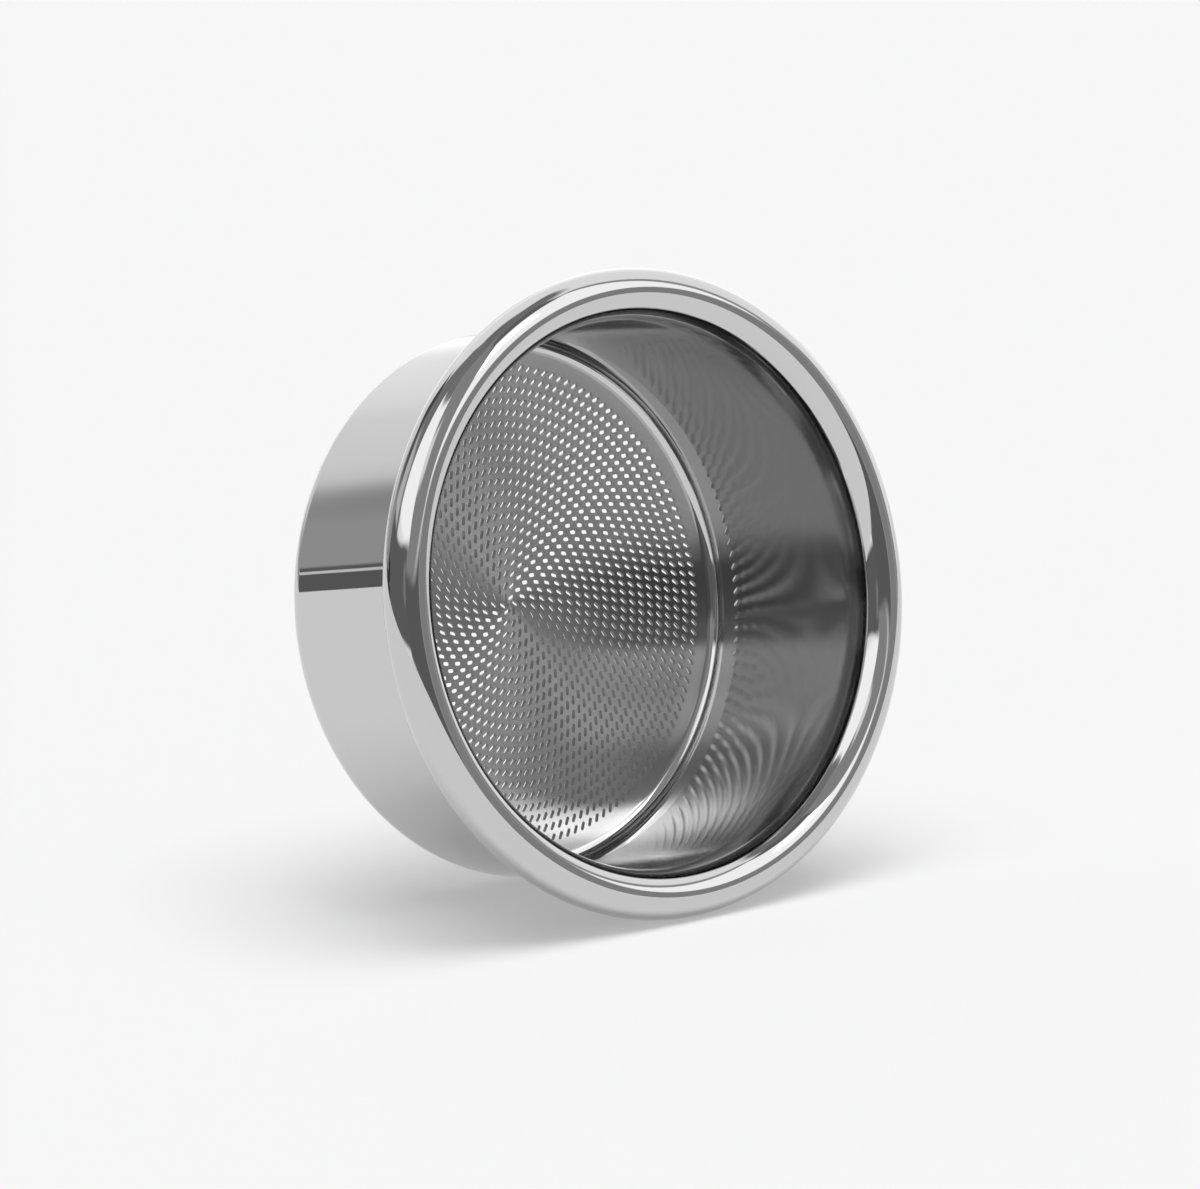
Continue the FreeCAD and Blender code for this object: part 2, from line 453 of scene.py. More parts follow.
# %% [markdown]
# ### The sheet between the slots
# Each ring lies in a band of sheet of its own. A band ends halfway to the next ring, and its
# edges have as many points as those of the bands beside it, so that the bands join up. The first
# band has no inner edge. The last one reaches out to the shell and takes the shell's points.

# %% Tree: the edges of a band
half_pitch = add_node(
    base_tree, "ShaderNodeMath", {0: given["Ring Pitch"], 1: 2.0}, operation="DIVIDE"
).outputs[0]
inner_radius = add_node(
    base_tree, "ShaderNodeMath", {0: ring_radius, 1: half_pitch}, operation="SUBTRACT"
).outputs[0]
outer_radius = add_node(
    base_tree, "ShaderNodeMath", {0: ring_radius, 1: half_pitch}, operation="ADD"
).outputs[0]
outer_points = add_node(
    base_tree, "ShaderNodeMath", {0: wanted, 1: given["Slot Points"]}, operation="ADD"
).outputs[0]
inner_points = add_node(
    base_tree, "ShaderNodeMath", {0: outer_points, 1: given["Slots Added"]}, operation="SUBTRACT"
).outputs[0]
is_last = add_node(
    base_tree, "FunctionNodeCompare", {"A": ring, "B": last_ring},
    data_type="FLOAT", operation="GREATER_EQUAL",
).outputs[0]
is_first = add_node(
    base_tree, "FunctionNodeCompare", {"A": ring, "B": 1.0},
    data_type="FLOAT", operation="LESS_THAN",
).outputs[0]
edge_radius = add_node(
    base_tree, "GeometryNodeSwitch",
    {"Switch": is_last, "False": outer_radius, "True": given["Base Radius"]}, input_type="FLOAT",
).outputs[0]
edge_points = add_node(
    base_tree, "GeometryNodeSwitch",
    {"Switch": is_last, "False": outer_points, "True": given["Segments"]}, input_type="INT",
).outputs[0]
outer_edge = add_node(
    base_tree, "GeometryNodeCurvePrimitiveCircle",
    {"Resolution": edge_points, "Radius": edge_radius},
).outputs["Curve"]
inner_edge = add_node(
    base_tree, "GeometryNodeCurvePrimitiveCircle",
    {"Resolution": inner_points, "Radius": inner_radius},
).outputs["Curve"]
inner_edge_if_any = add_node(
    base_tree, "GeometryNodeSwitch", {"Switch": is_first, "False": inner_edge},
    input_type="GEOMETRY",
).outputs[0]
print("base tree so far:", len(base_tree.nodes), "nodes")

# %% Tree: fill the bands, join them and give them the sheet's thickness
MERGE_DISTANCE = 0.001  # mm

band_outlines = add_node(base_tree, "GeometryNodeJoinGeometry")
for outline in (real_outlines, outer_edge, inner_edge_if_any):
    base_tree.links.new(outline, band_outlines.inputs[0])
band = add_node(
    base_tree, "GeometryNodeFillCurve", {"Curve": band_outlines.outputs[0]}
).outputs[0]
bands = add_node(base_tree, "GeometryNodeJoinGeometry")
for piece in (band, repeat_in.outputs["Geometry"]):
    base_tree.links.new(piece, bands.inputs[0])
base_tree.links.new(bands.outputs[0], repeat_out.inputs["Geometry"])
underside = add_node(
    base_tree, "GeometryNodeMergeByDistance",
    {"Geometry": repeat_out.outputs["Geometry"], "Distance": MERGE_DISTANCE * MM},
).outputs[0]
raised = add_node(
    base_tree, "GeometryNodeExtrudeMesh",
    {"Mesh": underside, "Offset Scale": given["Thickness"], "Individual": False},
)
flipped = add_node(base_tree, "GeometryNodeFlipFaces", {"Mesh": underside}).outputs[0]
print("base tree so far:", len(base_tree.nodes), "nodes")

# %% [markdown]
# The extrusion walls in the slots, which is wanted, and the edge of the base, which isn't: the
# shell joins on there. So the walls that lie near the base's radius are deleted again.

# %% Tree: open the edge of the base
EDGE_BAND = 0.1  # mm; a wall this close to the base's radius is the edge's own

here = add_node(base_tree, "GeometryNodeInputPosition").outputs[0]
flat_here = add_node(
    base_tree, "ShaderNodeVectorMath", {0: here, 1: (1, 1, 0)}, operation="MULTIPLY"
).outputs[0]
reach = add_node(
    base_tree, "ShaderNodeVectorMath", {0: flat_here}, operation="LENGTH"
).outputs["Value"]
near_edge = add_node(
    base_tree, "ShaderNodeMath", {0: given["Base Radius"], 1: EDGE_BAND * MM},
    operation="SUBTRACT",
).outputs[0]
is_edge = add_node(
    base_tree, "ShaderNodeMath", {0: reach, 1: near_edge}, operation="GREATER_THAN"
).outputs[0]
edge_wall = add_node(
    base_tree, "FunctionNodeBooleanMath", {0: raised.outputs["Side"], 1: is_edge}, operation="AND"
).outputs[0]
open_edge = add_node(
    base_tree, "GeometryNodeDeleteGeometry",
    {"Geometry": raised.outputs["Mesh"], "Selection": edge_wall}, domain="FACE",
).outputs[0]
both = add_node(base_tree, "GeometryNodeJoinGeometry")
for piece in (flipped, open_edge):
    base_tree.links.new(piece, both.inputs[0])
result = add_node(
    base_tree, "GeometryNodeRealizeInstances", {"Geometry": both.outputs[0]}
).outputs[0]
print("base tree so far:", len(base_tree.nodes), "nodes")

# %% Tree: give each face the finish that goes with the way it looks
SIDEWAYS = 0.5  # a face whose normal's Z lies within this is the wall of a slot
LOOKS = (
    # each finish goes to the faces whose normal's Z is over a limit, and the next one overrules it
    (polished_steel, -2.0),      # all faces, of which those that look down keep it
    (punched_steel, -SIDEWAYS),  # those that look into a slot
    # the satin faces carry a darker grey, painted shade for the inside of the cup
    (satin_steel_painted_shade, SIDEWAYS),     # those that look up into the cup
)

face_normal = add_node(base_tree, "GeometryNodeInputNormal").outputs[0]
upward = add_node(base_tree, "ShaderNodeSeparateXYZ", {"Vector": face_normal}).outputs["Z"]
for material, lowest in LOOKS:
    chosen = add_node(
        base_tree, "ShaderNodeMath", {0: upward, 1: lowest}, operation="GREATER_THAN"
    ).outputs[0]
    result = add_node(
        base_tree, "GeometryNodeSetMaterial",
        {"Geometry": result, "Selection": chosen, "Material": material},
    ).outputs[0]
add_node(base_tree, "NodeGroupOutput", {"Base": result})
print("base tree:", len(base_tree.nodes), "nodes")

# %% Pierce the base
base_object = bpy.data.objects.new("base", bpy.data.meshes.new("base"))
bpy.context.collection.objects.link(base_object)
base_mesh = run_tree(base_object, base_tree, {
    "Rings": RINGS, "Outer Ring": OUTER_RING * MM, "Ring Pitch": RING_PITCH * MM,
    "Inner Ring Slots": INNER_RING_SLOTS, "Slots Added": SLOTS_ADDED, "Most Slots": MOST_SLOTS,
    "First Angle": math.radians(FIRST_SLOT_ANGLE), "Lag": -OUTER_RINGS_LAG,
    "Slant": math.radians(SLOT_SLANT),
    "Slot Length": SLOT_LENGTH * MM, "Slot Width": SLOT_WIDTH * MM, "Slot Points": SLOT_POINTS,
    "Base Radius": BASE_RIM * MM, "Segments": SEGMENTS, "Thickness": SHEET * MM,
})
print("base:", len(base_mesh.polygons), "faces")

# %% [markdown]
# ## Welding the two into one piece
# The real basket is one sheet, so the shell and the base become one mesh. Their edges have the
# same number of points at the same places, and points that coincide are merged, along the
# shell's own seam too.

# %% Weld the shell and the base
WELD_DISTANCE = 0.002  # mm

welder = bmesh.new()
for mesh in (shell_mesh, base_mesh):
    first_face = len(welder.faces)
    welder.from_mesh(mesh)
    welder.faces.ensure_lookup_table()
    places = [finishes.index(material) if material else 0 for material in mesh.materials]
    for face in welder.faces[first_face:]:
        face.material_index = places[face.material_index]
bmesh.ops.remove_doubles(welder, verts=welder.verts, dist=WELD_DISTANCE * MM)
print("welded:", len(welder.verts), "points,", len(welder.faces), "faces")

# %% [markdown]
# ## Widening the slots on the underside
# A punch tears its way out of the sheet, so each slot leaves the underside a little wider than it
# entered, most of all at its ends. Seen at a slant through the slots, this lets more of the pale
# room behind shine through. The points round each slot on the underside are moved outward, each by
# an amount that grows towards the slot's ends.

# %% Widen the slots
SIDE_BREAKOUT = 0.03     # mm
END_BREAKOUT = 0.16      # mm
UNDERSIDE_LEVEL = 0.01   # mm; a point that is lower lies on the underside

welder.normal_update()
widened = 0
for point in welder.verts:
    slot_walls = [face.normal for face in point.link_faces if abs(face.normal.z) < SIDEWAYS]
    on_underside = point.co.z < UNDERSIDE_LEVEL * MM and point.co.xy.length < BASE_RIM * MM
    if slot_walls and on_underside:
        into_slot = sum(slot_walls, Vector()).normalized()
        slot_azimuth = math.atan2(point.co.y, point.co.x) - math.radians(SLOT_SLANT)
        lengthwise = Vector((math.cos(slot_azimuth), math.sin(slot_azimuth), 0.0))
        endness = into_slot.dot(lengthwise) ** 2
        point.co -= into_slot * (SIDE_BREAKOUT + (END_BREAKOUT - SIDE_BREAKOUT) * endness) * MM
        widened += 1
print("widened:", widened, "points on the underside")

# %% [markdown]
# ## Handing over the finished basket
# Edges sharper than a bend's small steps, such as those round the slots, stay crisp. The mesh
# then takes the place of the CAD model's node.

# %% Finish the mesh
SHARP_ANGLE = 30.0  # degrees

bmesh.ops.triangulate(welder, faces=[face for face in welder.faces if len(face.verts) > 4])
bmesh.ops.recalc_face_normals(welder, faces=welder.faces)
open_edges = [edge for edge in welder.edges if not edge.is_manifold]
basket_mesh = bpy.data.meshes.new("filter_basket_finished")
welder.to_mesh(basket_mesh)
welder.free()
for material in finishes:
    basket_mesh.materials.append(material)
basket_mesh.shade_smooth()
basket_mesh.set_sharp_from_angle(angle=math.radians(SHARP_ANGLE))
triangles = sum(len(face.vertices) - 2 for face in basket_mesh.polygons)
print("welded basket:", triangles, "triangles,", len(open_edges), "open edges")

# %% Hand it over
basket = bpy.data.objects.new("filter_basket_finished", basket_mesh)
bpy.context.collection.objects.link(basket)
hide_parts("filter_basket")
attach(basket, "root")
print("handed over:", basket.name)

# %% [markdown]
# ## The camera
# In the photograph the basket lies on its side, on its rim and on the edge of its base. It isn't
# moved for that: the camera, the floor and the lamps are turned round it instead. The lens and
# the distance come from fitting the outlines of the rim and the base and the rings of slots.

# %% Helper: a direction in the basket's frame


def direction(azimuth, elevation):
    """The unit vector to an azimuth, from +X towards +Y, and an elevation, both in degrees."""
    azimuth, elevation = math.radians(azimuth), math.radians(elevation)
    return Vector((
        math.cos(elevation) * math.cos(azimuth),
        math.cos(elevation) * math.sin(azimuth),
        math.sin(elevation),
    ))


# %% Place the camera
CAMERA_AIM = (-0.81, -1.12, 14.93)   # mm
CAMERA_AZIMUTH = 40.993              # degrees, as are the next two
CAMERA_ELEVATION = 51.409
CAMERA_ROLL = 85.407
CAMERA_DISTANCE = 705.27             # mm
LENS = 195.08                        # mm
SENSOR_WIDTH = 36.0                  # mm

camera_data = bpy.data.cameras.new("camera")
camera_data.lens = LENS
camera_data.sensor_width = SENSOR_WIDTH
camera = bpy.data.objects.new("camera", camera_data)
bpy.context.collection.objects.link(camera)
towards_camera = direction(CAMERA_AZIMUTH, CAMERA_ELEVATION)
camera.location = (Vector(CAMERA_AIM) + towards_camera * CAMERA_DISTANCE) * MM
upright = towards_camera.to_track_quat("Z", "Y")
rolled = Matrix.Rotation(math.radians(CAMERA_ROLL), 3, "Z").to_quaternion()
camera.rotation_mode = "QUATERNION"
camera.rotation_quaternion = upright @ rolled
bpy.context.scene.camera = camera
print("camera at, mm:", [round(value / MM, 1) for value in camera.location])

# %% [markdown]
# ## Colours and the three finishes
# Stainless steel is a neutral grey that reflects about six tenths of the light. It has no colour
# of its own beyond that: what sets its finishes apart is how sharply they mirror the room, and
# the satin finish also gets a darker grey, which is painted shade for the inside of the cup. The
# outside, the rim and the foot of the inner wall are buffed to a mirror, in which soft boxes keep
# their edges, and only faint waves of the buffing wheel bend them.
#
# The rest of the inside is satin, with fine lines turned round the axis. Such lines blur a
# reflection across themselves far more than along themselves. On the flat base this draws the
# bright and dark sectors that meet at its centre, like the glints on a pan's lid. On the wall the
# slots still show near its foot, and smear into streaks higher up.
#
# The third finish is the inner wall of each slot, torn by the punch and so darker and duller.

# %% Helper: a colour from its sRGB hex value


def linear(hex_colour):
    """The linear red, green, blue and alpha of a colour, by the sRGB standard's own curve."""
    channels = [int(hex_colour[start:start + 2], 16) / 255 for start in (1, 3, 5)]
    return [
        value / 12.92 if value <= 0.04045 else ((value + 0.055) / 1.055) ** 2.4
        for value in channels
    ] + [1.0]


# %% Finish: mirror polished stainless steel
# the eye gets sharp pictures of the soft boxes, which bend a little from place to place
STEEL_COLOUR = "#CBCBCB"
CLEAREST, HAZIEST = 0.012, 0.035    # roughness
HAZE_SIZE = 3.0                     # mm, of the patches that the wheel left clearer or hazier
HAZE_LOW, HAZE_HIGH = 0.35, 0.65    # of the noise, where a patch is as clear or hazy as it gets
BUFFING_WAVE = 9.0                  # mm, from crest to crest of the waves that buffing leaves
BUFFING_DEPTH = 0.004               # mm

polished_steel.use_nodes = True
tree = polished_steel.node_tree
shader = tree.nodes["Principled BSDF"]
shader.inputs["Base Color"].default_value = linear(STEEL_COLOUR)
shader.inputs["Metallic"].default_value = 1.0
place = add_node(tree, "ShaderNodeTexCoord").outputs["Object"]
haze = add_node(
    tree, "ShaderNodeTexNoise", {"Vector": place, "Scale": 1 / (HAZE_SIZE * MM), "Detail": 3.0}
).outputs["Fac"]
roughness = add_node(
    tree, "ShaderNodeMapRange",
    {
        "Value": haze, "From Min": HAZE_LOW, "From Max": HAZE_HIGH,
        "To Min": CLEAREST, "To Max": HAZIEST,
    },
).outputs[0]
tree.links.new(roughness, shader.inputs["Roughness"])
waves = add_node(
    tree, "ShaderNodeTexNoise", {"Vector": place, "Scale": 1 / (BUFFING_WAVE * MM), "Detail": 0.0}
).outputs["Fac"]
bump = add_node(
    tree, "ShaderNodeBump", {"Height": waves, "Strength": 1.0, "Distance": BUFFING_DEPTH * MM}
).outputs[0]
tree.links.new(bump, shader.inputs["Normal"])
print(polished_steel.name + ":", len(tree.nodes), "nodes")

# %% Finish: satin stainless steel, its colour and its stretched highlights
# the eye gets bright and dark sectors on the base, streaks on the wall, and a darker grey that is
# painted shade for the inside of the cup
# darker than the polished steel's colour: painted shade for the inside of the cup
SATIN_PAINTED_SHADE_COLOUR = "#B4B4B4"
SATIN_STRETCH = 0.95     # how much more the turned lines blur across themselves than along
QUARTER_TURN = 0.25      # of a full turn; the blur goes across the lines, which run round the axis

satin_steel_painted_shade.use_nodes = True
tree = satin_steel_painted_shade.node_tree
shader = tree.nodes["Principled BSDF"]
shader.inputs["Base Color"].default_value = linear(SATIN_PAINTED_SHADE_COLOUR)
shader.inputs["Metallic"].default_value = 1.0
shader.inputs["Anisotropic"].default_value = SATIN_STRETCH
shader.inputs["Anisotropic Rotation"].default_value = QUARTER_TURN
round_the_axis = add_node(
    tree, "ShaderNodeTangent", direction_type="RADIAL", axis="Z"
).outputs[0]
tree.links.new(round_the_axis, shader.inputs["Tangent"])
print(satin_steel_painted_shade.name + ":", len(tree.nodes), "nodes so far")

# %% Finish: satin stainless steel, its turned lines
# a noise of radius and level alone has the same value all the way round, so it draws lines; real
# ones are finer than the render could show
LINE_WIDTH = 0.12                  # mm, between the turned lines
LINE_DEPTH = 0.0006                # mm
BASE_TOP = 2 * SHEET               # mm; the base's roughness holds below it, the wall's above
BASE_ROUGHNESS = (0.19, 0.25)      # least and most
WALL_ROUGHNESS = (0.08, 0.12)
NOISE_LOW, NOISE_HIGH = 0.3, 0.7   # of the noise, where the roughness is least and most

place = add_node(tree, "ShaderNodeTexCoord").outputs["Object"]
flat_place = add_node(
    tree, "ShaderNodeVectorMath", {0: place, 1: (1, 1, 0)}, operation="MULTIPLY"
).outputs[0]
reach = add_node(
    tree, "ShaderNodeVectorMath", {0: flat_place}, operation="LENGTH"
).outputs["Value"]
level = add_node(tree, "ShaderNodeSeparateXYZ", {"Vector": place}).outputs["Z"]
section_place = add_node(tree, "ShaderNodeCombineXYZ", {"X": reach, "Y": level}).outputs[0]
lines = add_node(
    tree, "ShaderNodeTexNoise",
    {"Vector": section_place, "Scale": 1 / (LINE_WIDTH * MM), "Detail": 2.0},
).outputs["Fac"]
on_wall = add_node(
    tree, "ShaderNodeMath", {0: level, 1: BASE_TOP * MM}, operation="GREATER_THAN"
).outputs[0]
least, most = [
    add_node(
        tree, "ShaderNodeMix", {"Factor": on_wall, "A": base, "B": wall}, data_type="FLOAT"
    ).outputs[0]
    for base, wall in zip(BASE_ROUGHNESS, WALL_ROUGHNESS)
]
roughness = add_node(
    tree, "ShaderNodeMapRange",
    {
        "Value": lines, "From Min": NOISE_LOW, "From Max": NOISE_HIGH,
        "To Min": least, "To Max": most,
    },
).outputs[0]
tree.links.new(roughness, shader.inputs["Roughness"])
bump = add_node(
    tree, "ShaderNodeBump", {"Height": lines, "Strength": 1.0, "Distance": LINE_DEPTH * MM}
).outputs[0]
tree.links.new(bump, shader.inputs["Normal"])
print(satin_steel_painted_shade.name + ":", len(tree.nodes), "nodes")

# %% Finish: the punched walls of the slots
# torn metal scatters the light, so the eye gets a dull edge round each bright slot
PUNCHED_COLOUR = "#7C7C7C"
SMOOTHEST, ROUGHEST = 0.35, 0.55   # roughness
TEAR_SIZE = 0.1                    # mm, of the torn grain that a punch leaves

punched_steel.use_nodes = True
tree = punched_steel.node_tree
shader = tree.nodes["Principled BSDF"]
shader.inputs["Base Color"].default_value = linear(PUNCHED_COLOUR)
shader.inputs["Metallic"].default_value = 1.0
place = add_node(tree, "ShaderNodeTexCoord").outputs["Object"]
grain = add_node(
    tree, "ShaderNodeTexNoise", {"Vector": place, "Scale": 1 / (TEAR_SIZE * MM), "Detail": 1.0}
).outputs["Fac"]
roughness = add_node(
    tree, "ShaderNodeMapRange",
    {
        "Value": grain, "From Min": NOISE_LOW, "From Max": NOISE_HIGH,
        "To Min": SMOOTHEST, "To Max": ROUGHEST,
    },
).outputs[0]
tree.links.new(roughness, shader.inputs["Roughness"])
print(punched_steel.name + ":", len(tree.nodes), "nodes")

# %% [markdown]
# ## The floor
# The basket lies on its rim and on the edge of its base, so the floor leans in the basket's frame.
# It is a pale plane that touches both. It shows only from above: seen from below it lets the eye
# through, so that the basket can be looked at from every side.

# %% Lay the floor
FLOOR_AZIMUTH = -45.0     # degrees; the way the floor's normal points
FLOOR_TILT = 12.3         # degrees; how far the normal rises above the basket's own level
FLOOR_LEVEL = -28.86      # mm, along the normal
FLOOR_SIZE = 6.0          # m

floor_up = direction(FLOOR_AZIMUTH, FLOOR_TILT)
floor_away = (floor_up * towards_camera.dot(floor_up) - towards_camera).normalized()
floor_right = floor_away.cross(floor_up)
floor_corners = [
    floor_up * FLOOR_LEVEL * MM + (floor_right * right + floor_away * away) * FLOOR_SIZE / 2
    for right, away in ((-1, -1), (1, -1), (1, 1), (-1, 1))
]
floor_mesh = bpy.data.meshes.new("floor")
floor_mesh.from_pydata(floor_corners, [], [(0, 1, 2, 3)])
floor = bpy.data.objects.new("floor", floor_mesh)
bpy.context.collection.objects.link(floor)
print("floor normal:", [round(value, 3) for value in floor_mesh.polygons[0].normal])

# %% Cover the floor with pale paper
# matt paper takes the shadows softly and shows no reflection at all
FLOOR_COLOUR = "#D4D4D4"
FLOOR_GLOW = 0.30         # lifts the grey paper to the studio's pale ground, under its shadows too

pale_paper = bpy.data.materials.new("pale_paper")
floor_mesh.materials.append(pale_paper)
pale_paper.use_nodes = True
tree = pale_paper.node_tree
shader = tree.nodes["Principled BSDF"]
shader.inputs["Base Color"].default_value = linear(FLOOR_COLOUR)
shader.inputs["Roughness"].default_value = 1.0
shader.inputs["Specular IOR Level"].default_value = 0.0
rays = add_node(tree, "ShaderNodeLightPath").outputs
seen_or_mirrored = add_node(
    tree, "ShaderNodeMath", {0: rays["Is Camera Ray"], 1: rays["Is Glossy Ray"]},
    operation="MAXIMUM",
).outputs[0]
seen_at_all = add_node(
    tree, "ShaderNodeMath", {0: seen_or_mirrored, 1: rays["Is Transmission Ray"]},
    operation="MAXIMUM",
).outputs[0]
glow = add_node(
    tree, "ShaderNodeMath", {0: seen_at_all, 1: FLOOR_GLOW}, operation="MULTIPLY"
).outputs[0]
lifted = add_node(tree, "ShaderNodeEmission", {"Strength": glow}).outputs[0]
pale_shader = add_node(tree, "ShaderNodeAddShader", {0: shader.outputs[0], 1: lifted}).outputs[0]
print(pale_paper.name + ":", len(tree.nodes), "nodes so far")

# %% Let the eye through the floor from below
seen_from_below = add_node(tree, "ShaderNodeNewGeometry").outputs["Backfacing"]
see_through = add_node(tree, "ShaderNodeBsdfTransparent").outputs[0]
one_sided = add_node(
    tree, "ShaderNodeMixShader", {0: seen_from_below, 1: pale_shader, 2: see_through}
).outputs[0]
tree.links.new(one_sided, tree.nodes["Material Output"].inputs["Surface"])
print(pale_paper.name + ":", len(tree.nodes), "nodes")

# %% [markdown]
# ## The studio
# A mirror shows the room, so the room is part of the likeness. It is drawn in the world's
# shader by direction: a pale room with soft boxes, dark flags and gaps, each a rectangle in
# azimuth and elevation over the floor. Azimuth 0 is away from the camera and 90 is to its right.
# Only reflections see it. The camera itself sees plain pale ground, and matt surfaces are lit by
# one even level.

# %% Tree: where a direction of the room lies on a card
card_tree = bpy.data.node_groups.new("studio_card", "ShaderNodeTree")
for name in (
    "Room", "Azimuth", "Elevation", "Centre", "Half Width", "Low", "High", "Lean", "Softness",
    "Level",
):
    card_tree.interface.new_socket(name, in_out="INPUT", socket_type="NodeSocketFloat")
card_tree.interface.new_socket("Room", in_out="OUTPUT", socket_type="NodeSocketFloat")
given = add_node(card_tree, "NodeGroupInput").outputs
off_centre = add_node(
    card_tree, "ShaderNodeMath", {0: given["Azimuth"], 1: given["Centre"]}, operation="SUBTRACT"
).outputs[0]
wrapped = add_node(
    card_tree, "ShaderNodeMath", {0: off_centre, 1: -180.0, 2: 180.0}, operation="WRAP"
).outputs[0]
sideways = add_node(
    card_tree, "ShaderNodeMath", {0: wrapped}, operation="ABSOLUTE"
).outputs[0]
risen = add_node(
    card_tree, "ShaderNodeMath", {0: wrapped, 1: given["Lean"]}, operation="MULTIPLY"
).outputs[0]
height = add_node(
    card_tree, "ShaderNodeMath", {0: given["Elevation"], 1: risen}, operation="SUBTRACT"
).outputs[0]
print("card tree so far:", len(card_tree.nodes), "nodes")

# %% Tree: cover the room with the card inside its soft edges
inside_parts = []
for bound, value, sign in (
    ("Half Width", sideways, -1.0), ("Low", height, 1.0), ("High", height, -1.0),
):
    gap = add_node(
        card_tree, "ShaderNodeMath", {0: value, 1: given[bound]}, operation="SUBTRACT"
    ).outputs[0]
    inward = add_node(
        card_tree, "ShaderNodeMath", {0: gap, 1: sign}, operation="MULTIPLY"
    ).outputs[0]
    in_steps = add_node(
        card_tree, "ShaderNodeMath", {0: inward, 1: given["Softness"]}, operation="DIVIDE"
    ).outputs[0]
    # half of the soft edge lies inside the bound, and half outside it
    part = add_node(
        card_tree, "ShaderNodeMapRange", {"Value": in_steps, "From Min": -0.5, "From Max": 0.5},
        interpolation_type="SMOOTHSTEP",
    ).outputs[0]
    inside_parts.append(part)
across, above, below = inside_parts
across_and_above = add_node(
    card_tree, "ShaderNodeMath", {0: across, 1: above}, operation="MULTIPLY"
).outputs[0]
cover = add_node(
    card_tree, "ShaderNodeMath", {0: across_and_above, 1: below}, operation="MULTIPLY"
).outputs[0]
room = add_node(
    card_tree, "ShaderNodeMix", {"Factor": cover, "A": given["Room"], "B": given["Level"]},
    data_type="FLOAT",
).outputs[0]
add_node(card_tree, "NodeGroupOutput", {"Room": room})
print("card tree:", len(card_tree.nodes), "nodes")

# %% [markdown]
# ### The cards
# A later card covers the ones before it, so their order counts. A level of 1 is as bright as the
# white ground, and the soft boxes are brighter. The names say where a card is: left and right are
# the camera's own, and the front is the side where the camera stands.

# %% List the cards
ROOM_LEVEL = 1.12  # where there is no card
CARDS = (
    # name, centre, half width, low, high, lean, softness, level: angles in degrees, and the lean
    # is how far a card rises for each degree to the right
    ("back_light", -8, 26, -15, 34, 0.0, 24, 1.38),
    ("back_shade", -20, 12, 4, 26, 0.0, 10, 1.08),
    ("low_back", -48, 18, -3, 28, 0.0, 14, 0.92),
    ("low_back_foot", -50, 12, -3, 7, 0.0, 6, 0.60),
    ("ceiling", 0, 185, 76, 95, 0.0, 8, 0.20),
    ("ceiling_right", 107, 88, 65, 95, 0.0, 6, 0.23),
    ("ceiling_left", -115, 62, 67, 95, 0.0, 8, 0.25),
    ("left_foot", -76, 19, -3, 22, 0.0, 14, 0.42),
    ("left_wall", -87, 28, 17, 80, 0.0, 8, 0.24),
    ("left_wall_panel", -90, 14, 18, 43, 0.0, 8, 0.66),
    ("low_flag", -70, 8, 24, 36, 0.0, 5, 0.12),
    ("flag", -58, 8, 28, 48, 0.0, 5, 0.08),
    ("front_gap_left", -130, 50, -2, 25, -0.1, 3, 0.16),
    ("dark_foot", -82, 12, -2, 4.8, 0.0, 0.8, 0.14),
    ("bright_slit", -82, 12, 3.3, 3.9, 0.0, 0.3, 0.80),
    ("dark_stand", -86, 6, -3, 8, 0.0, 2, 0.04),
    ("front_sill", -172, 8, 13, 23, 0.0, 3, 0.28),
    ("right_gap", 92, 26, -3, 19, 0.0, 5, 0.32),
    ("right_strip", 78, 5, -3, 60, 0.0, 4, 0.40),
    ("front_wall_right", 152, 30, 17, 75, 0.0, 4, 0.34),
    ("front_gap_right", 152, 34, -3, 18, 0.1, 4, 0.15),
    ("over_right_box", 104, 22, 55, 70, 0.0, 4, 0.16),
    ("right_soft_box", 103, 20, 19, 58, 0.0, 3, 1.42),
    ("hot_spot", 115, 8, 39, 52, 0.0, 4, 5.0),
    ("front_window", 166, 9, 38, 52, 0.0, 6, 1.0),
    ("left_soft_box", -149, 37, 29, 67, 0.05, 4, 1.42),
)
print("cards:", len(CARDS))

# %% Draw the room by direction
world = bpy.data.worlds.new("studio")
bpy.context.scene.world = world
world.use_nodes = True
tree = world.node_tree
tree.nodes.clear()
ray_direction = add_node(tree, "ShaderNodeTexCoord").outputs["Generated"]
along = {
    name: add_node(
        tree, "ShaderNodeVectorMath", {0: ray_direction, 1: tuple(axis)}, operation="DOT_PRODUCT"
    ).outputs["Value"]
    for name, axis in (("right", floor_right), ("away", floor_away), ("up", floor_up))
}
azimuth = add_node(
    tree, "ShaderNodeMath", {0: along["right"], 1: along["away"]}, operation="ARCTAN2"
).outputs[0]
elevation = add_node(
    tree, "ShaderNodeMath", {0: along["up"]}, operation="ARCSINE"
).outputs[0]
azimuth_degrees, elevation_degrees = [
    add_node(tree, "ShaderNodeMath", {0: angle}, operation="DEGREES").outputs[0]
    for angle in (azimuth, elevation)
]
room = ROOM_LEVEL
for name, centre, half_width, low, high, lean, softness, level in CARDS:
    room = add_node(tree, "ShaderNodeGroup", {
        "Room": room, "Azimuth": azimuth_degrees, "Elevation": elevation_degrees,
        "Centre": centre, "Half Width": half_width, "Low": low, "High": high, "Lean": lean,
        "Softness": softness, "Level": level,
    }, node_tree=card_tree, label=name).outputs[0]
print("studio so far:", len(tree.nodes), "nodes")

# %% Choose what each kind of ray sees
BACKGROUND_COLOUR = "#F8F8F8"  # what the camera sees past the floor
EVEN_COLOUR = "#FFFFFF"        # the light that reaches matt surfaces from all sides
EVEN_LEVEL = 0.30

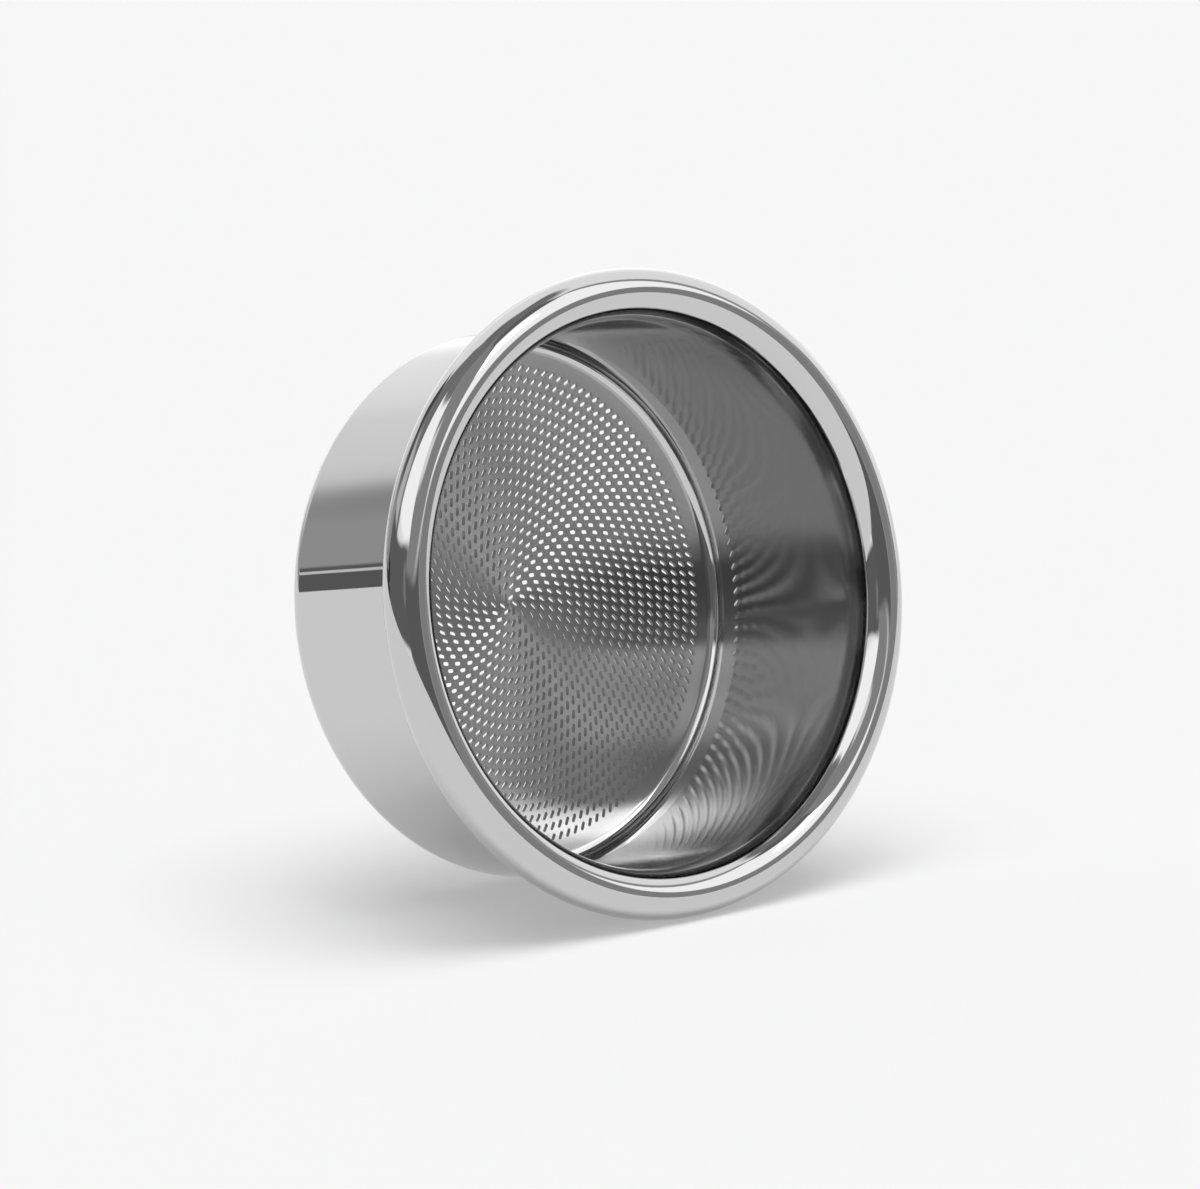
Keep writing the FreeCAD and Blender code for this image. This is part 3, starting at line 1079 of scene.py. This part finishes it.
mirrored = add_node(tree, "ShaderNodeBackground", {"Color": room}).outputs[0]
even = add_node(
    tree, "ShaderNodeBackground", {"Color": linear(EVEN_COLOUR), "Strength": EVEN_LEVEL}
).outputs[0]
ground = add_node(
    tree, "ShaderNodeBackground", {"Color": linear(BACKGROUND_COLOUR)}
).outputs[0]
rays = add_node(tree, "ShaderNodeLightPath").outputs
seen_in_metal = add_node(
    tree, "ShaderNodeMath", {0: rays["Is Glossy Ray"], 1: rays["Is Transmission Ray"]},
    operation="MAXIMUM",
).outputs[0]
lit_or_mirrored = add_node(
    tree, "ShaderNodeMixShader", {0: seen_in_metal, 1: even, 2: mirrored}
).outputs[0]
seen = add_node(
    tree, "ShaderNodeMixShader", {0: rays["Is Camera Ray"], 1: lit_or_mirrored, 2: ground}
).outputs[0]
add_node(tree, "ShaderNodeOutputWorld", {"Surface": seen})
print("studio:", len(tree.nodes), "nodes")

# %% [markdown]
# ## Lamps
# Two broad suns, high on either side, throw the soft shadows on the floor. Mirrors already show
# the soft boxes themselves, so the suns are kept out of reflections.

# %% Helper: a direction in the studio


def studio_direction(azimuth, elevation):
    """The unit vector to an azimuth and an elevation over the floor, like those of the cards."""
    azimuth, elevation = math.radians(azimuth), math.radians(elevation)
    level = floor_away * math.cos(azimuth) + floor_right * math.sin(azimuth)
    return level * math.cos(elevation) + floor_up * math.sin(elevation)


# %% Hang the lamps
LAMPS = (
    # name, azimuth, elevation, width (all three in degrees), strength
    ("left_sun", -137, 74, 38, 0.90),
    ("right_sun", 84, 78, 42, 1.26),
)

for name, lamp_azimuth, lamp_elevation, width, strength in LAMPS:
    sun = bpy.data.lights.new(name, "SUN")
    sun.angle = math.radians(width)
    sun.energy = strength
    lamp = bpy.data.objects.new(name, sun)
    bpy.context.collection.objects.link(lamp)
    towards_lamp = studio_direction(lamp_azimuth, lamp_elevation)
    lamp.rotation_mode = "QUATERNION"
    lamp.rotation_quaternion = towards_lamp.to_track_quat("Z", "Y")
    lamp.visible_glossy = False
    print(name + ":", strength, "bright,", width, "degrees wide")

# %% [markdown]
# ## Finishing the scene
# The Standard view transform shows colours as they are written.

# %% Set the view transform
bpy.context.scene.view_settings.view_transform = "Standard"
